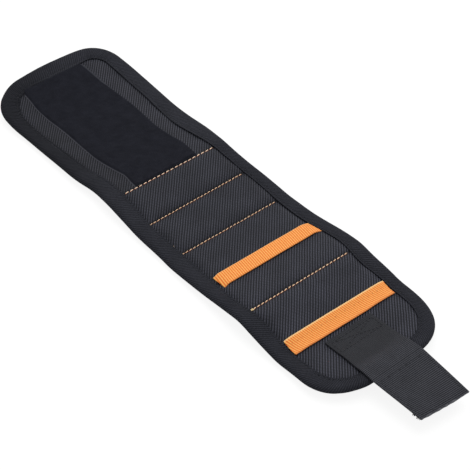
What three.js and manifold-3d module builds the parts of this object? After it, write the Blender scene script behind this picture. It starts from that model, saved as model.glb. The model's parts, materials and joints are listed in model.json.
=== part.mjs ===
// A magnetic tool wristband laid out flat on a table: a padded band with a loop-pile panel at one end,
// five quilted pockets of three disc magnets each, two sewn-on tapes and a hook strap at the other end.
// Millimetres. X runs along the band towards the strap, Y across it, Z up away from the lining.
import * as THREE from 'three';
import { mergeVertices } from 'three/addons/utils/BufferGeometryUtils.js';
import Module from 'manifold-3d';

const wasm = await Module();
wasm.setup();

// Plan of the band
const bandWidth = 90;
const loopPanelLength = 128;
const pocketPitch = 30.6;
const strapPanelLength = 45.6;
const loopEndRadius = 25;
const strapEndRadius = 30.5;
const pocketLengthShares = [0.935, 0.997, 1.046, 0.971, 1.051];
const loopPanelShares = [0.334, 0.333, 0.333];

// Layers, from the lining up, where the quilting pulls them together
const liningThickness = 1.4;
const faceThickness = 0.7;
const clearance = 0.3;
const stackHalf = (liningThickness + clearance + faceThickness) / 2;
const liningTop = liningThickness - stackHalf;
const faceBottom = liningTop + clearance;

// Padding of the pockets above and below the quilted line
const faceCrownHeight = 1.2;
const liningCrownHeight = 1.5;

// Disc magnets, three across each pocket
const magnetDiameter = 15;
const magnetThickness = 2.4;
const magnetChamfer = 0.3;
const magnetSides = 28;
const seatMargin = 0.5;
const edgeRampShare = 0.4;
const magnetRows = ['near', 'middle', 'far'];

// Edge binding, a tape folded over the raw edge
const bindingLap = 9.3;
const bindingThickness = 0.7;
const bindingFold = 1;
const bindingTop = stackHalf + clearance + bindingThickness;
const plateEdge = bindingThickness + clearance;
const innerHalf = bandWidth / 2 - bindingLap;

// Loop pile sewn on the end panel
const pileWidth = 48.5;
const pileThickness = 1.4;
const pileOffset = -1.6;
const pileStartRadius = 5;
const pileEndRadius = 1.5;
const pileSeamMargin = 1.4;

// Tapes of the tool loops
const tapeWidth = 10.4;
const tapeThickness = 0.7;
const tapeSeat = 0.55;
const archRise = 2;
const archRamp = 5;
const flapRise = 2.4;
const archedLoopPocket = 4;

// Hook strap
const strapWidth = 34.4;
const strapOffset = -1.6;
const strapThickness = 1.3;
const strapRootGap = 8.1;
const strapRamp = 4;
const strapTailLength = 34.6;
const tailGap = 1;
const hookThickness = 1.2;
const hookMargin = 1.6;
const hookStart = 3.4;

// How far neighbouring sections may turn about a quilted line before their solids would touch
const wrapHalfTurn = THREE.MathUtils.degToRad(29);
const arcHalfTurn = THREE.MathUtils.degToRad(10);

// Angle of each section as the band lies, in degrees, positive where it rises towards the strap
const restAngles = new Map([
  ['loop_1', -7.5], ['loop_2', 1.6], ['loop_3', 3.9],
  ['pocket_1', -6.6], ['pocket_2', -1.8], ['pocket_3', 4.4], ['pocket_4', 7.5], ['pocket_5', -10.4],
  ['strap_panel', 5.3], ['strap_tail', -2.5],
]);

const cornerSteps = 7;
const crownSteps = 4;
const pileSteps = 3;

// Materials
const fabric = (color, roughness = 0.9) => new THREE.MeshStandardMaterial({ color, roughness, metalness: 0 });
const looks = {
  face: () => fabric(0x37373c),
  lining: () => fabric(0x26262a),
  binding: () => fabric(0x2b2c31, 0.8),
  pile: () => fabric(0x24252a, 1),
  tape: () => fabric(0xf79a55, 0.75),
  strap: () => fabric(0x3b3c41, 0.7),
  hook: () => fabric(0x1f2023, 0.6),
  magnet: () => new THREE.MeshStandardMaterial({ color: 0xc4c6c9, roughness: 0.28, metalness: 1 }),
};

const piece = (name, geometry, look) => {
  const mesh = new THREE.Mesh(geometry, looks[look]());
  mesh.name = name;
  return mesh;
};

const span = (count) => Array.from({ length: count }, (_, index) => index);

// Distance that a layer at height z keeps from the quilted line, so that the sections can turn about it
const seamInset = (z) => clearance / 2 + (z < 0 ? -z * Math.tan(wrapHalfTurn) : z * Math.tan(arcHalfTurn));

// A quarter-sine rise from 0 at a quilted line to 1 where the padding is full
const rise = (share) => Math.sin((Math.PI / 2) * THREE.MathUtils.clamp(share, 0, 1));

const pocketRampX = (length) => (length - magnetDiameter) / 2 - seatMargin;
const pocketRampY = magnetDiameter * edgeRampShare;
const crownAt = (x, y, length) => {
  const ramp = pocketRampX(length);
  return rise(x / ramp) * rise((length - x) / ramp) * rise((innerHalf - Math.abs(y)) / pocketRampY);
};

// Closed solid between two grids of heights that share their rows and columns
const quiltedLayer = (length, bottomAt, topAt) => {
  const ramp = pocketRampX(length);
  const halfWidth = bandWidth / 2 - plateEdge;
  const rampShares = span(crownSteps + 1).map((step) => step / crownSteps);
  const nearRows = [-halfWidth, ...rampShares.map((share) => -innerHalf + share * pocketRampY)];
  const rows = [...nearRows, ...nearRows.map((y) => -y).reverse()];
  const startColumns = rampShares.map((share) => share * ramp);
  const columns = [...startColumns, ...startColumns.map((x) => length - x).reverse()];
  const last = columns.length - 1;
  const vertices = [];
  for (const heightAt of [bottomAt, topAt]) {
    const inset = seamInset(heightAt(0));
    columns.forEach((column, index) => {
      const x = index === 0 ? inset : index === last ? length - inset : column;
      rows.forEach((y) => vertices.push(x, y, heightAt(crownAt(column, y, length))));
    });
  }
  const at = (layer, i, j) => (layer * columns.length + i) * rows.length + j;
  const faces = [];
  const quad = (a, b, c, d) => faces.push(a, b, c, a, c, d);
  for (let i = 0; i < last; i += 1) {
    for (let j = 0; j < rows.length - 1; j += 1) {
      quad(at(1, i, j), at(1, i + 1, j), at(1, i + 1, j + 1), at(1, i, j + 1));
      quad(at(0, i, j), at(0, i, j + 1), at(0, i + 1, j + 1), at(0, i + 1, j));
    }
    const far = rows.length - 1;
    quad(at(0, i, 0), at(0, i + 1, 0), at(1, i + 1, 0), at(1, i, 0));
    quad(at(0, i + 1, far), at(0, i, far), at(1, i, far), at(1, i + 1, far));
  }
  for (let j = 0; j < rows.length - 1; j += 1) {
    quad(at(0, 0, j + 1), at(0, 0, j), at(1, 0, j), at(1, 0, j + 1));
    quad(at(0, last, j), at(0, last, j + 1), at(1, last, j + 1), at(1, last, j));
  }
  const geometry = new THREE.BufferGeometry();
  geometry.setAttribute('position', new THREE.Float32BufferAttribute(vertices, 3));
  geometry.setIndex(faces);
  return geometry;
};

const toSolid = (geometry) => {
  const bare = geometry.clone();
  bare.deleteAttribute('normal');
  bare.deleteAttribute('uv');
  const merged = mergeVertices(bare);
  const { array } = merged.attributes.position;
  return new wasm.Manifold(new wasm.Mesh({ numProp: 3, vertProperties: array, triVerts: merged.index.array }));
};

const fromSolid = (solid) => {
  const { vertProperties, triVerts } = solid.getMesh();
  const geometry = new THREE.BufferGeometry();
  geometry.setAttribute('position', new THREE.Float32BufferAttribute(vertProperties, 3));
  geometry.setIndex([...triVerts]);
  return geometry;
};

// Places of the three magnets across the band
const magnetReach = innerHalf - pocketRampY - magnetDiameter / 2 - seatMargin;
const magnetPlaces = [-magnetReach, 0, magnetReach];
const magnetTop = liningTop + faceCrownHeight;
const magnetMiddle = magnetTop - magnetThickness / 2;

const liningWithSeats = (length) => {
  const underside = (crown) => -stackHalf - crown * liningCrownHeight;
  const pad = quiltedLayer(length, underside, (crown) => liningTop + crown * faceCrownHeight);
  const radius = magnetDiameter / 2 + clearance;
  const depth = magnetThickness + clearance;
  const seat = new THREE.CylinderGeometry(radius, radius, depth * 2, magnetSides).rotateX(Math.PI / 2);
  const cuts = magnetPlaces.map((y) => toSolid(seat.clone().translate(length / 2, y, magnetTop)));
  return fromSolid(cuts.reduce((solid, cut) => solid.subtract(cut), toSolid(pad)));
};

const magnetDisc = () => {
  const radius = magnetDiameter / 2;
  const half = magnetThickness / 2;
  const profile = [
    [0, -half], [radius - magnetChamfer, -half], [radius, magnetChamfer - half],
    [radius, half - magnetChamfer], [radius - magnetChamfer, half], [0, half],
  ].map(([r, z]) => new THREE.Vector2(r, z));
  return new THREE.LatheGeometry(profile, magnetSides).rotateX(Math.PI / 2);
};

// Binding section as inward distance from the outline and height, a C open towards the band
const bindingSection = () => {
  const inside = stackHalf + clearance;
  const foldPoints = (height, startAngle) => span(4).map((step) => {
    const angle = startAngle + (step / 3) * (Math.PI / 2);
    return [bindingFold + bindingFold * Math.cos(angle), height + bindingFold * Math.sin(angle)];
  });
  return [
    [bindingLap, inside], [bindingLap, bindingTop],
    ...foldPoints(bindingTop - bindingFold, Math.PI / 2),
    ...foldPoints(bindingFold - bindingTop, Math.PI),
    [bindingLap, -bindingTop], [bindingLap, -inside],
    [bindingThickness, -inside], [bindingThickness, inside],
  ].map(([inward, height]) => new THREE.Vector2(inward, height));
};

// Sweeps the section along stations that run anticlockwise round the outline, each end cut back from its seam
const sweptBinding = (stations) => {
  const section = bindingSection();
  const count = section.length;
  const last = stations.length - 1;
  const vertices = [];
  stations.forEach(({ x, y, inward }, index) => {
    const along = new THREE.Vector2(inward.y, -inward.x);
    section.forEach((point) => {
      const towards = index === 0 ? 1 : index === last ? -1 : 0;
      const cut = towards * seamInset(point.y);
      vertices.push(
        x + inward.x * point.x + along.x * cut,
        y + inward.y * point.x + along.y * cut,
        point.y,
      );
    });
  });
  const faces = [];
  for (let k = 0; k < last; k += 1) {
    for (let m = 0; m < count; m += 1) {
      const next = (m + 1) % count;
      const [a, b, c, d] = [k * count + m, k * count + next, (k + 1) * count + next, (k + 1) * count + m];
      faces.push(a, b, c, a, c, d);
    }
  }
  THREE.ShapeUtils.triangulateShape(section, []).forEach(([a, b, c]) => {
    faces.push(a, c, b, last * count + a, last * count + b, last * count + c);
  });
  const geometry = new THREE.BufferGeometry();
  geometry.setAttribute('position', new THREE.Float32BufferAttribute(vertices, 3));
  geometry.setIndex(faces);
  return geometry;
};

const straightBinding = (length, side) => {
  const ends = side < 0 ? [0, length] : [length, 0];
  const inward = new THREE.Vector2(0, -side);
  return sweptBinding(ends.map((x) => ({ x, y: (side * bandWidth) / 2, inward })));
};

// Binding round an end panel whose seam is at x = 0 and whose rounded end is at x = length
const roundedBinding = (length, radius) => {
  const corner = (side, start) => span(cornerSteps).map((step) => {
    const angle = start + (step / (cornerSteps - 1)) * (Math.PI / 2);
    const outward = new THREE.Vector2(Math.cos(angle), Math.sin(angle));
    return {
      x: length - radius + radius * outward.x,
      y: side * (bandWidth / 2 - radius) + radius * outward.y,
      inward: outward.clone().negate(),
    };
  });
  const near = { x: 0, y: -bandWidth / 2, inward: new THREE.Vector2(0, 1) };
  const far = { x: 0, y: bandWidth / 2, inward: new THREE.Vector2(0, -1) };
  return sweptBinding([near, ...corner(-1, -Math.PI / 2), ...corner(1, 0), far]);
};

// Flat layer with square seam edges, or with a rounded end at x = length
const flatLayer = (length, bottom, top, radius) => {
  const halfWidth = bandWidth / 2 - plateEdge;
  const inset = Math.max(seamInset(bottom), seamInset(top));
  const outline = new THREE.Shape();
  outline.moveTo(inset, -halfWidth);
  if (radius) {
    const end = length - radius;
    const small = radius - plateEdge;
    outline.lineTo(end, -halfWidth);
    outline.absarc(end, radius - bandWidth / 2, small, -Math.PI / 2, 0);
    outline.absarc(end, bandWidth / 2 - radius, small, 0, Math.PI / 2);
  } else {
    outline.lineTo(length - inset, -halfWidth);
    outline.lineTo(length - inset, halfWidth);
  }
  outline.lineTo(inset, halfWidth);
  const options = { depth: top - bottom, bevelEnabled: false, curveSegments: cornerSteps };
  return new THREE.ExtrudeGeometry(outline, options).translate(0, 0, bottom);
};

const flatFace = (length, radius) => flatLayer(length, faceBottom, stackHalf, radius);
const flatLining = (length, radius) => flatLayer(length, -stackHalf, liningTop, radius);

// Loop pile between two places along the band, with the corner radius of each end
const pileSheet = (start, end, startRadius, endRadius) => {
  const low = pileOffset - pileWidth / 2;
  const high = pileOffset + pileWidth / 2;
  const outline = new THREE.Shape();
  outline.moveTo(start + startRadius, low);
  outline.lineTo(end - endRadius, low);
  if (endRadius) {
    outline.quadraticCurveTo(end, low, end, low + endRadius);
    outline.lineTo(end, high - endRadius);
    outline.quadraticCurveTo(end, high, end - endRadius, high);
  } else {
    outline.lineTo(end, high);
  }
  outline.lineTo(start + startRadius, high);
  if (startRadius) {
    outline.quadraticCurveTo(start, high, start, high - startRadius);
    outline.lineTo(start, low + startRadius);
    outline.quadraticCurveTo(start, low, start + startRadius, low);
  } else {
    outline.lineTo(start, low);
  }
  const options = { depth: pileThickness, bevelEnabled: false, curveSegments: pileSteps };
  return new THREE.ExtrudeGeometry(outline, options).translate(0, 0, stackHalf + clearance);
};

// Prism whose profile lies in the XZ plane and whose width runs along Y
const profileAcross = (points, width) => {
  const outline = new THREE.Shape(points.map(([x, z]) => new THREE.Vector2(x, z)));
  const prism = new THREE.ExtrudeGeometry(outline, { depth: width, bevelEnabled: false });
  return prism.rotateX(Math.PI / 2).translate(0, width / 2, 0);
};

// Strip that follows a line of [along, height] points and has a constant thickness upwards
const strip = (line, thickness) => [...line, ...line.map(([x, z]) => [x, z + thickness]).reverse()];

// Tape that is held at both ends under the binding and arches over the seam between them
const archedTape = () => {
  const half = innerHalf - clearance;
  const arch = span(crownSteps + 1).map((step) => {
    const share = step / crownSteps;
    return [-half + share * archRamp, stackHalf + tapeSeat + archRise * rise(share)];
  });
  const line = [...arch, ...arch.map(([y, z]) => [-y, z]).reverse()];
  return profileAcross(strip(line, tapeThickness), tapeWidth).rotateZ(Math.PI / 2);
};

// Tape sewn down along its middle, its flap over the pocket lifted by the padding
const flatTape = () => {
  const half = tapeWidth / 2;
  const seat = stackHalf + tapeSeat;
  const line = [[-half, seat + flapRise], [0, seat], [half, seat]];
  return profileAcross(strip(line, tapeThickness), (innerHalf - clearance) * 2);
};

// Webbing from its sewn root over the binding to the rounded end
const strapRoot = () => {
  const low = stackHalf + clearance;
  const high = bindingTop + clearance;
  const bindingEdge = strapPanelLength - bindingLap - clearance;
  const line = [
    [strapRootGap, low], [bindingEdge - strapRamp, low], [bindingEdge, high], [strapPanelLength, high],
  ];
  return profileAcross(strip(line, strapThickness), strapWidth).translate(0, strapOffset, 0);
};

const strapTail = () => {
  const line = [[tailGap / 2, -strapThickness / 2], [strapTailLength, -strapThickness / 2]];
  return profileAcross(strip(line, strapThickness), strapWidth).translate(0, strapOffset, 0);
};

const strapHook = () => {
  const low = -strapThickness / 2 - clearance - hookThickness;
  const line = [[hookStart, low], [strapTailLength - hookMargin, low]];
  const width = strapWidth - hookMargin * 2;
  return profileAcross(strip(line, hookThickness), width).translate(0, strapOffset, 0);
};

// Sections of the band, each drawn from its own quilted line at x = 0 to the next at x = length
const loopPanelSection = (name, length, pile) => {
  const section = new THREE.Group();
  section.add(
    piece(`${name}_face`, flatFace(length), 'face'),
    piece(`${name}_lining`, flatLining(length), 'lining'),
    piece(`${name}_binding_near`, straightBinding(length, -1), 'binding'),
    piece(`${name}_binding_far`, straightBinding(length, 1), 'binding'),
    piece(`${name}_pile`, pile, 'pile'),
  );
  return section;
};

const roundedPanel = (name, length, radius) => {
  const section = new THREE.Group();
  section.add(
    piece(`${name}_face`, flatFace(length, radius), 'face'),
    piece(`${name}_lining`, flatLining(length, radius), 'lining'),
    piece(`${name}_binding`, roundedBinding(length, radius), 'binding'),
  );
  return section;
};

const pocketSection = (name, length) => {
  const section = new THREE.Group();
  const underside = (crown) => faceBottom + crown * faceCrownHeight;
  const face = quiltedLayer(length, underside, (crown) => stackHalf + crown * faceCrownHeight);
  section.add(
    piece(`${name}_face`, face, 'face'),
    piece(`${name}_lining`, liningWithSeats(length), 'lining'),
    piece(`${name}_binding_near`, straightBinding(length, -1), 'binding'),
    piece(`${name}_binding_far`, straightBinding(length, 1), 'binding'),
  );
  magnetRows.forEach((row, index) => {
    const magnet = piece(`${name}_magnet_${row}`, magnetDisc(), 'magnet');
    magnet.position.set(length / 2, magnetPlaces[index], magnetMiddle);
    section.add(magnet);
  });
  return section;
};

// A section turned about the quilted line that it shares with its parent
const hinged = (name, carrierName, section, x, z = 0) => {
  const hinge = new THREE.Group();
  const bend = restAngles.get(name) - (restAngles.get(carrierName) ?? 0);
  hinge.name = name;
  hinge.position.set(x, 0, z);
  hinge.rotation.y = -THREE.MathUtils.degToRad(bend);
  hinge.add(section);
  return hinge;
};

const pocketLengths = pocketLengthShares.map((share) => share * pocketPitch);
const loopLengths = loopPanelShares.map((share) => share * loopPanelLength);
const [loopEndLength, loopMiddleLength, loopSeamLength] = loopLengths;
const pileInset = seamInset(stackHalf + clearance + pileThickness);

// The first pocket carries the others on one side and the loop panel on the other
const band = hinged('pocket_1', '', pocketSection('pocket_1', pocketLengths[0]), 0);
let carrier = band;
for (let number = 2; number <= pocketLengths.length; number += 1) {
  const name = `pocket_${number}`;
  const section = pocketSection(name, pocketLengths[number - 1]);
  const next = hinged(name, `pocket_${number - 1}`, section, pocketLengths[number - 2]);
  if (number === archedLoopPocket) {
    next.add(piece('tool_loop_arched', archedTape(), 'tape'));
  }
  carrier.add(next);
  carrier = next;
}

const strapSection = roundedPanel('strap_panel', strapPanelLength, strapEndRadius);
const strapPanel = hinged('strap_panel', 'pocket_5', strapSection, pocketLengths.at(-1));
strapPanel.add(piece('tool_loop_flat', flatTape(), 'tape'), piece('strap_root', strapRoot(), 'strap'));
carrier.add(strapPanel);

const tailHeight = bindingTop + clearance + strapThickness / 2;
const tail = new THREE.Group();
tail.add(piece('strap_tail', strapTail(), 'strap'), piece('strap_hook', strapHook(), 'hook'));
strapPanel.add(hinged('strap_tail', 'strap_panel', tail, strapPanelLength + tailGap / 2, tailHeight));

// Loop panel, drawn towards -X from the first quilted line
const towardsLoopEnd = (section, length) => {
  section.position.x = -length;
  return section;
};
const seamPile = pileSheet(pileInset, loopSeamLength - pileSeamMargin, 0, pileEndRadius);
const loopSeamSection = loopPanelSection('loop_3', loopSeamLength, seamPile);
const loopSeam = hinged('loop_3', 'pocket_1', towardsLoopEnd(loopSeamSection, loopSeamLength), 0);
const middlePile = pileSheet(pileInset, loopMiddleLength - pileInset, 0, 0);
const loopMiddleSection = towardsLoopEnd(
  loopPanelSection('loop_2', loopMiddleLength, middlePile),
  loopMiddleLength,
);
const loopMiddle = hinged('loop_2', 'loop_3', loopMiddleSection, -loopSeamLength);
const loopEndPanel = roundedPanel('loop_1', loopEndLength, loopEndRadius);
loopEndPanel.rotation.z = Math.PI;
const loopEnd = hinged('loop_1', 'loop_2', loopEndPanel, -loopMiddleLength);
const pileStart = bindingLap + clearance - loopEndLength;
const endPile = pileSheet(pileStart, -pileInset, pileStartRadius, 0);
loopEnd.add(piece('loop_1_pile', endPile, 'pile'));
band.add(loopSeam);
loopSeam.add(loopMiddle);
loopMiddle.add(loopEnd);

// Origin at the middle of the footprint, on the table
const group = new THREE.Group();
group.add(band);
group.updateMatrixWorld(true);
const box = new THREE.Box3().setFromObject(group, true);
band.position.sub(new THREE.Vector3((box.min.x + box.max.x) / 2, (box.min.y + box.max.y) / 2, box.min.z));

export default group;
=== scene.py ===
import json
import math

import bpy
import numpy as np
from mathutils import Matrix, Vector


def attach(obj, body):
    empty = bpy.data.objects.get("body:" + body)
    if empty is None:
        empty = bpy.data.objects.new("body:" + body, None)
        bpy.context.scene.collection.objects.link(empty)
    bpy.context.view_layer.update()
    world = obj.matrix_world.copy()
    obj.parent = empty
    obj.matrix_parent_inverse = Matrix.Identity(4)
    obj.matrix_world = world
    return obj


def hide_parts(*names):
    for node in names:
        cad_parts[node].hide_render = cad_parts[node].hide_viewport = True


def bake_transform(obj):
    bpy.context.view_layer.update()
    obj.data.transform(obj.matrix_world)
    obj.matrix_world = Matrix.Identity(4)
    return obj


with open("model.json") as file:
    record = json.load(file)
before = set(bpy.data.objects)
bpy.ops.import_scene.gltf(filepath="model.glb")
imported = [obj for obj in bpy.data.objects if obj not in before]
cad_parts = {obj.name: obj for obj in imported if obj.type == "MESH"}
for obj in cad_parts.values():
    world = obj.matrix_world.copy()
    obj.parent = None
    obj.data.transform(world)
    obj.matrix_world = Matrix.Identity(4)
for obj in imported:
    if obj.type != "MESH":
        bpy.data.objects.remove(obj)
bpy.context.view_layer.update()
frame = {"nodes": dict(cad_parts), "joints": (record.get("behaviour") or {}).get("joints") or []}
seam_at = {joint["name"]: Vector(joint["pos_m"]) for joint in frame["joints"]}

# The camera stands above the near side of the loop panel and looks down the band
# from about 45 degrees, with a long lens and a slight tilt.
view_azimuth, view_elevation, view_tilt = math.radians(48.8), math.radians(44.59), math.radians(1.34)
from_loop_seam = Vector((0.52193, -0.40188, 0.59670))
away = Vector((
    math.sin(view_azimuth) * math.cos(view_elevation),
    -math.cos(view_azimuth) * math.cos(view_elevation),
    math.sin(view_elevation),
))
level_right = Vector((math.cos(view_azimuth), math.sin(view_azimuth), 0))
level_up = away.cross(level_right)
tilted_right = level_right * math.cos(view_tilt) + level_up * math.sin(view_tilt)
tilted_up = level_up * math.cos(view_tilt) - level_right * math.sin(view_tilt)
photo_camera = bpy.data.objects.new("photo_camera", bpy.data.cameras.new("photo_camera"))
photo_camera.data.sensor_width = 36
photo_camera.data.lens = 113.23
photo_camera.data.clip_start = 0.01
photo_camera.data.clip_end = 50
turned_to_band = Matrix((tilted_right, tilted_up, away)).transposed().to_4x4()
photo_camera.matrix_world = Matrix.Translation(seam_at["loop_seam_bend"] + from_loop_seam) @ turned_to_band
bpy.context.scene.collection.objects.link(photo_camera)
bpy.context.scene.camera = photo_camera

# A white table and white surroundings, lit by one wide soft box overhead and a
# smaller one from the left. The table keeps a faint shadow under the band.
def node_of(tree, kind, **sockets):
    """A new node, its inputs set or linked. An input without a name of its own goes by _ and its number."""
    node = tree.nodes.new(kind)
    for name, value in sockets.items():
        socket = node.inputs[int(name[1:])] if name[1:].isdigit() else node.inputs[name.replace("_", " ")]
        if isinstance(value, bpy.types.NodeSocket):
            tree.links.new(value, socket)
        else:
            socket.default_value = value
    return node


def white_backdrop(tree, output, lighting, shown):
    """Ends a tree with one shader for the light it gives and another for the rays that show it."""
    path = tree.nodes.new("ShaderNodeLightPath")
    showing = path.outputs["Is Camera Ray"]
    for ray in ("Is Glossy Ray", "Is Transmission Ray"):
        either = node_of(tree, "ShaderNodeMath", _0=showing, _1=path.outputs[ray])
        either.operation = "MAXIMUM"
        showing = either.outputs[0]
    mix = node_of(tree, "ShaderNodeMixShader", Fac=showing, _1=lighting.outputs[0], _2=shown.outputs[0])
    node_of(tree, output, Surface=mix.outputs[0])


white, table_grey, shadow_grey = (1, 1, 1, 1), (0.4, 0.4, 0.4, 1), (0.17, 0.17, 0.17, 1)
room = bpy.data.worlds.new("white_room")
bpy.context.scene.world = room
room.use_nodes = True
room_tree = room.node_tree
room_tree.nodes.clear()
lit_room = node_of(room_tree, "ShaderNodeBackground", Color=white, Strength=0.62)
seen_room = node_of(room_tree, "ShaderNodeBackground", Color=white, Strength=1.0)
white_backdrop(room_tree, "ShaderNodeOutputWorld", lit_room, seen_room)

table_top = bpy.data.meshes.new("table_top")
table_top.from_pydata([(-3, -3, 0), (3, -3, 0), (3, 3, 0), (-3, 3, 0)], [], [(0, 1, 2, 3)])
table = bpy.data.objects.new("table_top", table_top)
bpy.context.scene.collection.objects.link(table)
table_paint = bpy.data.materials.new("white_table")
table_paint.use_nodes = True
table_tree = table_paint.node_tree
table_tree.nodes.clear()
matt = node_of(table_tree, "ShaderNodeBsdfDiffuse", Color=table_grey)
seen_matt = node_of(table_tree, "ShaderNodeBsdfDiffuse", Color=shadow_grey)
glow = node_of(table_tree, "ShaderNodeEmission", Color=white, Strength=0.87)
seen_table = node_of(table_tree, "ShaderNodeAddShader", _0=seen_matt.outputs[0], _1=glow.outputs[0])
white_backdrop(table_tree, "ShaderNodeOutputMaterial", matt, seen_table)
table_top.materials.append(table_paint)

for lamp_name, lamp_at, lamp_size, lamp_power in (
    ("overhead_soft_box", Vector((-0.35, 0.55, 1.5)), 1.5, 15),
    ("left_soft_box", Vector((-1.2, 0.3, 1.0)), 0.9, 1.2),
):
    lamp = bpy.data.objects.new(lamp_name, bpy.data.lights.new(lamp_name, "AREA"))
    lamp.data.shape = "SQUARE"
    lamp.data.size = lamp_size
    lamp.data.energy = lamp_power
    lamp.location = lamp_at
    lamp.rotation_mode = "QUATERNION"
    lamp.rotation_quaternion = (-lamp_at).to_track_quat("-Z", "Y")
    bpy.context.scene.collection.objects.link(lamp)

bpy.context.scene.view_settings.view_transform = "Standard"

# The padding on the wrist side is black spacer mesh over thin foam, one long pad
# quilted to the face along every cross seam, so it swells between the seams.
# Every layer is laid out flat by distance along the band, place across it and height.
band_width, loop_panel, binding_lap = 0.090, 0.128, 0.0093
half_band = band_width / 2
near_side, far_side = -1, 1
both_sides = (near_side, far_side)
seam_order = [
    "loop_outer_flex", "loop_inner_flex", "loop_seam_bend", "pocket_seam_1_bend", "pocket_seam_2_bend",
    "pocket_seam_3_bend", "pocket_seam_4_bend", "strap_seam_bend",
]
section_order = [
    "loop_1", "loop_2", "loop_3", "pocket_1", "pocket_2", "pocket_3", "pocket_4", "pocket_5", "strap_panel",
]
seam_words = [name.replace("_bend", "").replace("_flex", "_fold") for name in seam_order]
part_names = ["loop_end"] + seam_words + ["strap_end"]
last_part = len(section_order)
loop_end_length, loop_end_lie = 0.042752, -7.5
strap_panel_length, strap_panel_lie = 0.0456, 5.3


def lying(length, degrees):
    """A step of that length in the band's long section, tilted up from level."""
    return length * Vector((math.cos(math.radians(degrees)), 0, math.sin(math.radians(degrees))))


def smooth_step(share):
    share = np.clip(share, 0, 1)
    return share * share * (3 - 2 * share)


def rounded(share):
    return np.sin(np.clip(share, 0, 1) * math.pi / 2)


def ridge(distance, width):
    return np.exp(-((distance / width) ** 2))


def soft_line(points, reach_at):
    """Places (along, across, height) on a line of points in the XZ plane whose corners are eased."""
    lead = 0.05
    stops = np.concatenate(([0], np.cumsum([(b - a).length for a, b in zip(points, points[1:])])))
    start_lead = (points[0] - points[1]).normalized() * lead + points[0]
    end_lead = (points[-1] - points[-2]).normalized() * lead + points[-1]
    at = np.concatenate(([-lead], stops, [stops[-1] + lead]))
    line = np.array([(p.x, p.z) for p in (start_lead, *points, end_lead)]).T

    def place(along, across, height):
        along, across, height = np.broadcast_arrays(*(np.asarray(v, float) for v in (along, across, height)))
        reach = reach_at(along)
        spread = [along + reach * k for k in np.linspace(-1, 1, 9)]
        x, z = (np.mean([np.interp(stop, at, v) for stop in spread], axis=0) for v in line)
        run, climb = (np.interp(along + reach, at, v) - np.interp(along - reach, at, v) for v in line)
        size = np.hypot(run, climb)
        return np.stack([x - height * climb / size, across, z + height * run / size], -1)

    return place, stops


first, last = seam_at[seam_order[0]], seam_at[seam_order[-1]]
turns = [first - lying(loop_end_length, loop_end_lie)] + [seam_at[name] for name in seam_order]
turns.append(last + lying(strap_panel_length, strap_panel_lie))
on_band, band_stops = soft_line(turns, lambda along: 0.004 + 0.009 * smooth_step((0.112 - along) / 0.012))
seam_s = dict(zip(seam_order, band_stops[1:-1]))
sewn_stops = band_stops[3:-1]
band_length = band_stops[-1]
# The hand that cut and sewed it shows in these widths, in millimetres: the side edges and
# the laps at stations 16 mm apart along the band, and the two ends at stations across it.
hand_step, hand_blur, end_stations_half = 0.016, 0.006, 0.044
edge_strays = {
    near_side: [0.3, 1.5, 2, 0.55, 0.5, 0.3, 0.3, -1.6, -0.2, 0.05, 0.4, 0.2, 1.1, 1.1, 0.7, 0.6, 1.05, 0.9,
                0.4, 0.7, 0.8],
    far_side: [0.4, 0.5, 1.9, 2, 0.8, -0.2, -0.5, 0.2, -0.3, -0.1, 1.1, 1.1, 0.65, 0.4, 1.75, 2.25, 1.4, 2.3,
               2.05, -0.3, 0.4],
}
lap_widths = {
    near_side: [11, 10.4, 9.4, 8.45, 9.1, 9.5, 10.3, 10.7, 11.7, 10.95, 10.2, 10.2, 11.3, 9.6, 8.6, 7.8,
                10.75, 9.2, 8.9, 9.5, 9.3],
    far_side: [11, 10.5, 11.2, 11.2, 11, 11.6, 12.6, 11.4, 8.9, 8.4, 8.8, 8.8, 9.45, 9.6, 8.85, 8.65, 10.8,
               8.9, 8.85, 8.6, 9.1],
}
loop_end_strays = [0, -0.7, -0.35, 0.05, 0.9, 1.6, 1.8, 1.6, 1.25, 0.5, 0.35, 0.6]
strap_end_strays = [0, -1.4, -1.65, -1.1, -0.9, -0.8, -0.7, -0.65, -0.55, -0.25, -0.15, -0.1]
crown_half, edge_slope = 0.008, 0.006
corner_radii = {near_side: (0.0255, 0.027), far_side: (0.020, 0.0305)}
seams_askew = {
    "loop_seam_bend": (-0.0003, 0.0006), "pocket_seam_1_bend": (-0.0010, -0.0010),
    "pocket_seam_2_bend": (-0.00165, -0.0010), "pocket_seam_3_bend": (-0.0003, 0.0006),
    "pocket_seam_4_bend": (-0.0013, -0.0003), "strap_seam_bend": (-0.0017, -0.0004),
}
askew_reach, straight_on = 0.035, (0.0, 0.0)
askew_near, askew_far = np.array(
    [straight_on] + [seams_askew.get(name, straight_on) for name in seam_order] + [straight_on]).T


def as_sewn(along, across):
    """Distance along the band as if every cross seam ran straight over its fold line."""
    share = np.clip((np.asarray(across) / askew_reach + 1) / 2, 0, 1)
    near, far = (np.interp(along, band_stops, askew) for askew in (askew_near, askew_far))
    return along - (1 - share) * near - share * far


def by_hand(widths, along, side):
    """A width in metres that the sewer's hand varies, read between its stations in millimetres."""
    stations = np.arange(len(widths[near_side])) * hand_step
    blur = np.linspace(-hand_blur, hand_blur, 7)
    near, far = (
        np.mean([np.interp(along + d, stations, widths[edge]) for d in blur], axis=0) / 1000
        for edge in both_sides)
    return np.where(np.asarray(side) < 0, near, far)


def half_width(along, side, inset):
    """Distance of the cut edge from the middle line, with the corners of both ends rounded."""
    edge = half_band - inset + 0 * along
    for distance, corner in zip((along, band_length - along), corner_radii[side]):
        inside = np.clip(corner - distance, 0, corner - inset)
        bulge = np.sqrt(np.maximum((corner - inset) ** 2 - inside ** 2, 0))
        edge = np.where(distance < corner, half_band - corner + bulge, edge)
    return edge + by_hand(edge_strays, along, side)


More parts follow.
